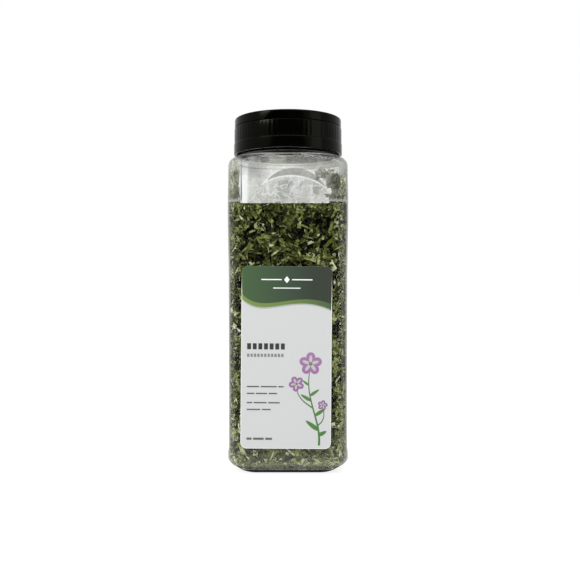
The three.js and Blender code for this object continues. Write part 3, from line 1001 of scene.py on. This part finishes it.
def makeFlakes():
    random = np.random.default_rng(flakes["seed"])
    centres, facing, tips, drawn, depth, ceiling = scattered(random)
    count = len(centres)
    turns = turnsFrom(facing, tips, random)
    tone = flakeTones(centres, depth, random)
    kinds = list(flakes["kinds"])
    kind = random.choice(len(kinds), count, p=[flakes["kinds"][k][0] for k in kinds])
    variant = random.integers(0, flakes["shapesPerKind"], count)
    # one piece for each side of the jar, so that none grows too large
    angle = np.arctan2(centres[:, 1], centres[:, 0])
    quarter = np.floor((angle + math.pi / 4) / (math.pi / 2)).astype(int) % 4
    parts = {name: ([], [], []) for name in ("flakesRight", "flakesBack", "flakesLeft", "flakesFront")}
    for kindIndex, kindName in enumerate(kinds):
        _, shortest, longest = flakes["kinds"][kindName]
        for variantIndex in range(flakes["shapesPerKind"]):
            shape, faces, cut = flakeShape(kindName, random)
            for side, (points, polygons, tones) in enumerate(parts.values()):
                picked = np.flatnonzero((kind == kindIndex) & (variant == variantIndex) & (quarter == side))
                sizes = shortest + (longest - shortest) * random.random(len(picked)) ** flakes["shortMore"]
                placed = placedFlakes(
                    shape, centres[picked], turns[picked], sizes, drawn[picked], ceiling[picked],
                )
                start = sum(map(len, points))
                points.append(placed.reshape(-1, 3))
                own = tone[picked, None]
                blotches = random.normal(0, flakeTone["blotches"], (len(picked), len(faces)))
                # cut edges made lighter as a painted highlight
                tones.append((own + (blotches + flakeTone["edgeHighlight"] * cut) * np.sqrt(own)).ravel())
                for i in range(len(picked)):
                    first = start + i * len(shape)
                    polygons.extend([[first + v for v in face] for face in faces])
    stuff = flakeStuff("driedChive", flakeTone["stops"])
    for name, (points, polygons, tones) in parts.items():
        mesh = bpy.data.meshes.new(name)
        mesh.from_pydata((np.concatenate(points) * mm).tolist(), [], polygons)
        mesh.attributes.new("tone", "FLOAT", "FACE").data.foreach_set("value", np.concatenate(tones))
        dressed(name, mesh, stuff, "jar", ["chive_flakes"], smooth=30)
        print("stage:", name, sum(len(polygon) - 2 for polygon in polygons), "triangles")


heap = dict(
    # half width, level, fillet and corner share from the middle of its foot outwards
    foot=[[0, 5.6, 0, 0.25], [24, 5.4, 3, 0.25], [33, 11, 4, 0.25]],
    topFillet=3,
    topRise=-0.2,
    underFill=0.6,
    around=48,
    shade=0.25,  # of the flakes' darkest colours
)


def makeHeap():
    # the middle of the heap, darkened as painted shade, which the loose flakes cover
    half, _, _, corner = heap["foot"][-1]
    top = flakes["fill"] - heap["underFill"]
    head = [[half, top, heap["topFillet"], corner], [0, top + heap["topRise"], 0, corner]]
    bm = spun(filleted(heap["foot"] + head), heap["around"])
    squaredUp(bm, heap["around"])
    stuff = flakeStuff("heapShade", flakeTone["stops"][:3], heap["shade"])
    finished("flakeHeap", bm, stuff, "jar", ["chive_flakes"])


makeHeap()
makeFlakes()
print("stage: flakes")


# Label

label = dict(
    width=53,
    height=107,
    bottom=16,
    corner=3.5,
    face=-35.8,  # the front of the paper
    thickness=0.2,
    shift=-1,
    lean=math.radians(0.45),
    border=0.35,  # white edge round the print
    ink=0.02,
    inkStep=0.0015,  # between neighbouring shapes of one layer
)

# each ink runs from one colour to the next between two levels, or two places across the label
inks = dict(
    labelPaper=([(0, "e3e5e3"), (1, "e9eae9")], (16, 123)),
    labelGround=([(0, "bfc1c1"), (1, "c1c2c2")], (16, 123)),
    softGrey=([(0, "9fa7a0"), (1, "9fa7a0")], (0, 1)),
    leafGreen=([(0, "718647"), (0.5, "647b40"), (1, "43593a")], (-27, 26)),
    deepGreen=([(0, "3f5836"), (0.5, "344534"), (0.8, "2d352b"), (1, "30362c")], (-27, 26)),
    whiteInk=([(0, "f2f3f1"), (1, "f2f3f1")], (0, 1)),
    darkInk=([(0, "363b37"), (1, "2b302c")], (30, 80)),
    greyInk=([(0, "7c817d"), (1, "757b77")], (30, 80)),
    softInk=([(0, "575d58"), (1, "474d48")], (30, 80)),
    stalkGreen=([(0, "3c7031"), (1, "5f7a49")], (20, 72)),
    paleLilac=([(0, "aca8ab"), (1, "b5b2b2")], (30, 80)),
    lilac=([(0, "7b4f81"), (1, "9a749c")], (30, 80)),
    heartGreen=([(0, "6c7658"), (1, "6c7658")], (0, 1)),
)
inksAcross = ("leafGreen", "deepGreen")
inkLook = dict(mottleScale=1500, mottle=0.12, roughness=0.4, shine=0.35)

# places on the label are x and y from its middle
banner = dict(
    wave=((-26.15, 37), (-14, 24), (4, 40), (26.15, 31.5)),
    stripe=((-26.15, 34.2), (-13, 21.6), (3, 38.6), (26.15, 28)),
    shade=((-26.15, 33.5), (-13, 20.6), (3, 37.8), (26.15, 27.2)),
    inset=0.03,
    diamond=((0, 47.6), (1.6, 45.6), (0, 43.6), (-1.6, 45.6)),
    # left end, foot, width and height
    rules=((-15, 45.3, 12, 0.6), (3, 45.3, 12, 0.6), (-8, 40.4, 16, 0.5)),
)

# plain bars where a label has its lines of writing
writing = dict(
    left=-23,
    # count, spacing, foot, width and height
    heading=(7, 3.3, 4.6, 2.3, 3.6),
    under=(11, 2.0, 0.2, 1.35, 1.9),
    space=0.9,
    # foot, height and the widths of the words
    lines=(
        (-17.6, 0.8, (7.2, 9.4, 3.2)),
        (-21.6, 0.8, (4.4, 6.6, 5.0)),
        (-27.0, 0.8, (3.2, 7.6, 6.8)),
        (-31.0, 0.8, (8.0, 5.2)),
        (-48.4, 1.3, (3.0, 6.2, 4.0)),
    ),
)

# a plant: a bowed stalk with leaves on either side in turn, and three flowers of five broad petals
plant = dict(
    stalk=((19.5, -51.5), (21, -36), (10, -24), (14.2, -6)),
    stalkWidths=(1.3, 0.5),
    # how far up the stalk each twig leaves it, the rest of its curve and its widths
    twigs=(
        (15, ((12, -27), (6.5, -24), (6.2, -17.5)), (0.9, 0.5)),
        (8, ((22, -38), (23, -34), (21.8, -29.5)), (0.8, 0.45)),
    ),
    # how far up the stalk each leaf leaves it, its length and its angle
    leaves=((4, 8.2, 0.5), (6, 9.4, 2.5), (12, 7.6, 0.6), (18, 7.2, 2.6), (20, 6.6, 0.6), (24, 4.8, 2.5)),
    leafWidth=0.36,
    rightEnd=24.5,  # no leaf reaches past this
    # middle, size and turn
    flowers=(((14.3, -3.6), 6.8, 0.3), ((6.1, -15.4), 4.6, 0.8), ((21.5, -27.8), 3.0, 0.1)),
    petals=5,
    petalWidth=0.66,
    petalTip=-0.7,
    paleLength=0.74,
    paleWidth=0.24,
    paleTip=-0.4,
    heart=0.17,
    heartSides=12,
)


def printed(name):
    # ink with a faint mottle
    material, tree = newMaterial(name)
    stops, span = inks[name]
    place = objectPlace(tree)
    run = ramped(tree, axesOf(tree, place)["X" if name in inksAcross else "Z"], span)
    noise = noiseOn(tree, place, inkLook["mottleScale"], 2)
    mottle = times(tree, maths(tree, "SUBTRACT", noise, 0.5), inkLook["mottle"])
    colour = colourRamp(tree, plus(tree, run, mottle), [(at, hexColour(text)) for at, text in stops])
    principled(tree, colour, inkLook["roughness"], inkLook["shine"])
    return material


def arcPoints(centre, radius, start, end, steps=8):
    angles = [start + (end - start) * i / steps for i in range(steps + 1)]
    return [Vector((centre[0] + radius * math.cos(a), centre[1] + radius * math.sin(a))) for a in angles]


def curvePoints(a, b, c, d, steps):
    # a cubic curve from a to d
    a, b, c, d = map(Vector, (a, b, c, d))
    ts = [i / steps for i in range(steps + 1)]
    return [a * (1 - t) ** 3 + b * 3 * t * (1 - t) ** 2 + c * 3 * t**2 * (1 - t) + d * t**3 for t in ts]


def ribbonShape(line, startWidth, endWidth):
    # the outline of a line that narrows from one width to the other
    left, right = [], []
    for i, point in enumerate(line):
        ahead = line[min(i + 1, len(line) - 1)] - line[max(i - 1, 0)]
        side = Vector((-ahead.y, ahead.x)).normalized()
        half = (startWidth + (endWidth - startWidth) * i / (len(line) - 1)) / 2
        left.append(point + side * half)
        right.append(point - side * half)
    return left + right[::-1]


def leafShape(base, angle, length, width, tip=1.0, sides=17):
    # an oval from its base; its far end is narrowed by tip, or widened where tip is below 0
    outline = []
    for i in range(sides):
        t = fullTurn * i / sides
        x = (1 - math.cos(t)) / 2
        y = math.sin(t) / 2 * (1 - 0.5 * tip * x)
        outline.append(Vector((x * length, y * width)))
    turn = Matrix.Rotation(angle, 2)
    return [Vector(base) + turn @ point for point in outline]


def barShape(x, y, width, height):
    return [Vector(p) for p in ((x, y), (x + width, y), (x + width, y + height), (x, y + height))]


def sheetOutline(inset, topOnly=False):
    # the label's outline, or only its top edge with its corners, inset from its edge
    x, y = label["width"] / 2 - inset, label["height"] / 2 - inset
    r = label["corner"] - inset
    upper = arcPoints((x - r, y - r), r, 0, math.pi / 2) + arcPoints((r - x, y - r), r, math.pi / 2, math.pi)
    if topOnly:
        return upper
    lower = arcPoints((r - x, r - y), r, math.pi, 1.5 * math.pi)
    return upper + lower + arcPoints((x - r, r - y), r, 1.5 * math.pi, fullTurn)


def flatWork(name, shapes, layer, ink, thickness=label["ink"]):
    # outlines become thin ink on the label's face, layer by layer, and the paper is the layer behind them
    bm = bmesh.new()
    for i, outline in enumerate(shapes):
        lift = -label["face"] + thickness * layer + label["inkStep"] * (i % 6)
        face = bm.faces.new([bm.verts.new((*point, lift)) for point in outline])
        if face.normal.z < 0:
            face.normal_flip()
        raised(bm, [face], thickness)
    turn = Matrix.Rotation(label["lean"], 4, "Y") @ Matrix.Rotation(math.pi / 2, 4, "X")
    middle = label["bottom"] + label["height"] / 2
    bmesh.ops.transform(bm, matrix=Matrix.Translation((label["shift"], 0, middle)) @ turn, verts=bm.verts)
    finished(name, bm, printed(ink), "jar", ["front_label"], smooth=0)


def makeBanner():
    # a green wave across the top, with a light stripe under it
    wave, stripe, shade = (curvePoints(*banner[part], 32) for part in ("wave", "stripe", "shade"))
    flatWork("bannerShade", [wave + shade[::-1]], 2, "softGrey")
    flatWork("bannerStripe", [wave + stripe[::-1]], 3, "leafGreen")
    flatWork("bannerGreen", [sheetOutline(banner["inset"], topOnly=True) + wave], 4, "deepGreen")
    diamond = [Vector(point) for point in banner["diamond"]]
    flatWork("bannerMarks", [diamond, *(barShape(*rule) for rule in banner["rules"])], 5, "whiteInk")


def makeWriting():
    for name, part, ink in (("labelHeading", "heading", "darkInk"), ("labelUnder", "under", "greyInk")):
        count, spacing, y, width, height = writing[part]
        bars = [barShape(writing["left"] + spacing * i, y, width, height) for i in range(count)]
        flatWork(name, bars, 2, ink)
    bars = []
    for y, height, words in writing["lines"]:
        x = writing["left"]
        for width in words:
            bars.append(barShape(x, y, width, height))
            x += width + writing["space"]
    flatWork("labelBars", bars, 2, "softInk")


def makePlant():
    stalk = curvePoints(*plant["stalk"], 30)
    green = [ribbonShape(stalk, *plant["stalkWidths"])]
    for index, rest, widths in plant["twigs"]:
        green.append(ribbonShape(curvePoints(stalk[index], *rest, 16), *widths))
    for index, longest, angle in plant["leaves"]:
        base = stalk[index]
        length = min(longest, plant["rightEnd"] - base.x) if angle < 1 else longest
        green.append(leafShape(base, angle, length, longest * plant["leafWidth"]))
    flatWork("labelStalks", green, 2, "stalkGreen")

    pale, bright, hearts = [], [], []
    for centre, size, turn in plant["flowers"]:
        for i in range(plant["petals"]):
            angle = turn + fullTurn * i / plant["petals"]
            bright.append(leafShape(centre, angle, size, size * plant["petalWidth"], plant["petalTip"]))
            length, width = size * plant["paleLength"], size * plant["paleWidth"]
            pale.append(leafShape(centre, angle, length, width, plant["paleTip"]))
        sides = plant["heartSides"]
        hearts.append(arcPoints(centre, size * plant["heart"], 0, fullTurn * (sides - 1) / sides, sides - 1))
    flatWork("petalsPale", pale, 5, "paleLilac")
    flatWork("petalsBright", bright, 3, "lilac")
    flatWork("flowerHearts", hearts, 7, "heartGreen")


flatWork("frontLabel", [sheetOutline(0)], -1, "labelPaper", label["thickness"])
flatWork("labelGround", [sheetOutline(label["border"])], 1, "labelGround")
makeBanner()
makeWriting()
makePlant()
print("stage: label")


# Cap

cap = dict(
    bottom=193.4,
    ledge=200,
    deckTop=210.2,
    deckThickness=1.3,
    deckSunk=0.02,  # below the rim of the shell
    deckPast=0.4,  # how far its edge runs into the shell
    radius=34.2,
    gripRadius=33.75,
    bore=32.2,
    mouthWider=0.5,
    lipNarrower=0.2,
    barHalf=4.5,
    barRadius=33.65,
    barSunk=0.3,
    barRounding=0.35,
    rimRounding=1.1,  # of the bar and of both flaps
    top=215.9,
    around=360,
    ribs=72,
    ribHeight=0.16,
    ribEase=0.7,
    ribEnds=0.6,
    spoonRadius=26,
    spoonChord=8,
    # count and distance from the middle of each row of holes
    holeRows=((4, 12), (3, 21.5)),
    holeSpacing=11,
    holeRadius=2.6,
)


blackLook = dict(
    colour=(0.0007, 0.0008, 0.0005, 1),
    shine=0.045,
    shineTint=(0.97, 1, 0.72, 1),
    roughLeast=0.12,
    roughMore=0.1,
    roughScale=120,
    waveScale=60,
    grainScale=1800,
    grain=0.05,
    bump=0.08,
    bumpDepth=1,
)


def blackPlastic():
    material, tree = newMaterial("blackCapPlastic")
    look = blackLook
    place = objectPlace(tree)
    grain = times(tree, noiseOn(tree, place, look["grainScale"], 2), look["grain"])
    height = plus(tree, noiseOn(tree, place, look["waveScale"], 2), grain)
    rough = times(tree, noiseOn(tree, place, look["roughScale"]), look["roughMore"])
    rough = plus(tree, rough, look["roughLeast"])
    bump = bumped(tree, height, look["bump"], look["bumpDepth"])
    principled(tree, look["colour"], rough, look["shine"], bump, look["shineTint"])
    return material


def discPart(radius, chord, low, high, segments=144, rim=0):
    # the part of a disc beyond a chord on the -Y side, as a solid, with its round top edge rounded by rim
    bm = bmesh.new()
    bmesh.ops.create_circle(bm, cap_ends=True, segments=segments, radius=radius)
    keptSide(bm, (0, -chord, 0), (0, 1, 0))
    bmesh.ops.translate(bm, vec=(0, 0, low), verts=bm.verts)
    raised(bm, bm.faces[:], high - low)
    if rim:
        middles = {edge: (edge.verts[0].co + edge.verts[1].co) / 2 for edge in bm.edges}
        arc = [e for e, m in middles.items() if m.z > high - 1e-3 and math.hypot(m.x, m.y) > radius - 0.1]
        bmesh.ops.bevel(bm, geom=arc, offset=rim, affect="EDGES", segments=5, profile=0.5, material=-1)
    return bm


def rounding(piece, width, segments=3):
    modifier = piece.modifiers.new("rounding", "BEVEL")
    modifier.width = width * mm
    modifier.segments = segments
    modifier.limit_method = "ANGLE"
    modifier.angle_limit = math.radians(35)


def capShell():
    top, ledge, bottom = cap["deckTop"], cap["ledge"], cap["bottom"]
    bore, grip, lip = cap["bore"], cap["gripRadius"], cap["bore"] - cap["lipNarrower"]
    section = [
        [lip, top - 1.3, 0],
        [bore, bottom + 1, 0.3],
        [bore + cap["mouthWider"], bottom, 0.2],
        [cap["radius"], bottom, 0.5],
        [cap["radius"], ledge, 0.45],
        [grip, ledge + 0.35, 0.2],
        [grip, ledge + 0.9, 0],
        [grip, top - 1.2, 0],
        [grip - 0.05, top, 0.35],
        [lip, top, 0],
        [lip, top - 1.3, 0],
    ]
    bm = spun(filleted(section), cap["around"])
    # fine ribs round the grip band
    for vert in bm.verts:
        radius = math.hypot(vert.co.x, vert.co.y)
        inBand = ledge + cap["ribEnds"] < vert.co.z < top - cap["ribEnds"]
        if inBand and radius > grip - 0.1:
            wave = 0.5 + 0.5 * math.cos(cap["ribs"] * math.atan2(vert.co.y, vert.co.x))
            out = 1 + cap["ribHeight"] * wave ** cap["ribEase"] / radius
            vert.co.x *= out
            vert.co.y *= out
    return bm


def capDeck():
    top = cap["deckTop"]
    low = top - cap["deckThickness"]
    deck = bmesh.new()
    bmesh.ops.create_circle(deck, cap_ends=True, segments=96, radius=cap["bore"] + cap["deckPast"])
    bmesh.ops.translate(deck, vec=(0, 0, low), verts=deck.verts)
    raised(deck, deck.faces[:], cap["deckThickness"] - cap["deckSunk"])
    deck = carved(deck, discPart(cap["spoonRadius"], cap["spoonChord"], low - 1, top + 1))
    for count, y in cap["holeRows"]:
        for i in range(count):
            hole = bmesh.new()
            place = Matrix.Translation(((i - (count - 1) / 2) * cap["holeSpacing"], y, top - 0.5))
            bmesh.ops.create_cone(
                hole, cap_ends=True, segments=32, radius1=cap["holeRadius"], radius2=cap["holeRadius"],
                depth=5, matrix=place,
            )
            deck = carved(deck, hole)
    return deck


def capBar():
    half, low = cap["barHalf"], cap["deckTop"] - cap["barSunk"]
    bar = discPart(cap["barRadius"], -half, low, cap["top"], rim=cap["rimRounding"])
    keptSide(bar, (0, -half, 0), (0, -1, 0))
    bmesh.ops.holes_fill(bar, edges=[e for e in bar.edges if e.is_boundary], sides=0)
    bmesh.ops.recalc_face_normals(bar, faces=bar.faces)
    return bar


def makeCap(stuff):
    finished("capShell", capShell(), stuff, "cap", ["cap"], turn=capTurn)
    finished("capDeck", capDeck(), stuff, "cap", ["cap"], turn=capTurn)
    bar = finished("capBar", capBar(), stuff, "cap", ["cap"], turn=capTurn)
    rounding(bar, cap["barRounding"])


# Flaps

flap = dict(
    radius=33.7,
    gap=0.3,
    plate=1.4,
    rim=1.4,
    edgeRounding=0.3,
    notchTop=7.6,
    notchBottom=17.2,
    notchDepth=3.2,
    notchLip=0.7,
    notchWall=3,
    rib=1.0,
)


def flapBody():
    chord = cap["barHalf"] + flap["gap"]
    low, top = cap["deckTop"] + flap["gap"], cap["top"]
    under = top - flap["plate"]
    # hollow underneath, but for the walls round the thumb notch
    hollow = discPart(flap["radius"] - flap["rim"], chord + flap["rim"], low - 1, under)
    wall = bmesh.new()
    bmesh.ops.create_cube(wall, size=1)
    size = (flap["notchBottom"] + flap["notchWall"], 2 * (flap["notchDepth"] + flap["rim"]), 20)
    bmesh.ops.scale(wall, vec=size, verts=wall.verts)
    bmesh.ops.translate(wall, vec=(0, -flap["radius"], under), verts=wall.verts)
    hollow = carved(hollow, wall)
    body = carved(discPart(flap["radius"], chord, low, top, 180, rim=cap["rimRounding"]), hollow)
    notch = bmesh.new()
    wide, narrow, lip = flap["notchBottom"] / 2, flap["notchTop"] / 2, top - flap["notchLip"]
    corners = [(-wide, low - 1), (wide, low - 1), (wide, low), (narrow, lip), (-narrow, lip), (-wide, low)]
    face = notch.faces.new([notch.verts.new((x, z, 0)) for x, z in corners])
    raised(notch, [face], flap["notchDepth"] + 1)
    depth = -flap["radius"] + flap["notchDepth"]
    stand = Matrix.Translation((0, depth, 0)) @ Matrix.Rotation(math.pi / 2, 4, "X")
    bmesh.ops.transform(notch, matrix=stand, verts=notch.verts)
    return carved(body, notch)


def ribWall(radius, chord, low):
    high = cap["top"] - flap["plate"] + 0.1
    inner = discPart(radius - flap["rib"], chord + flap["rib"], low - 1, high + 1)
    return carved(discPart(radius, chord, low, high), inner)


def makeFlaps(stuff):
    # each flap's turn, and the radius, chord and foot of the rib under it
    sides = dict(
        spoon=(0.0, cap["spoonRadius"] - 0.5, cap["spoonChord"] + 0.5, cap["deckTop"] - 1),
        sifter=(math.pi, cap["spoonRadius"] + 2, cap["spoonChord"] - 1, cap["deckTop"] + flap["gap"]),
    )
    for side, (turn, radius, chord, low) in sides.items():
        node = side + "_flap"
        piece = finished(side + "Flap", flapBody(), stuff, node, [node], turn=capTurn + turn)
        rounding(piece, flap["edgeRounding"])
        rib = ribWall(radius, chord, low)
        finished(side + "FlapRib", rib, stuff, node, [node], turn=capTurn + turn)


capStuff = blackPlastic()
makeCap(capStuff)
makeFlaps(capStuff)
print("stage: cap and flaps")
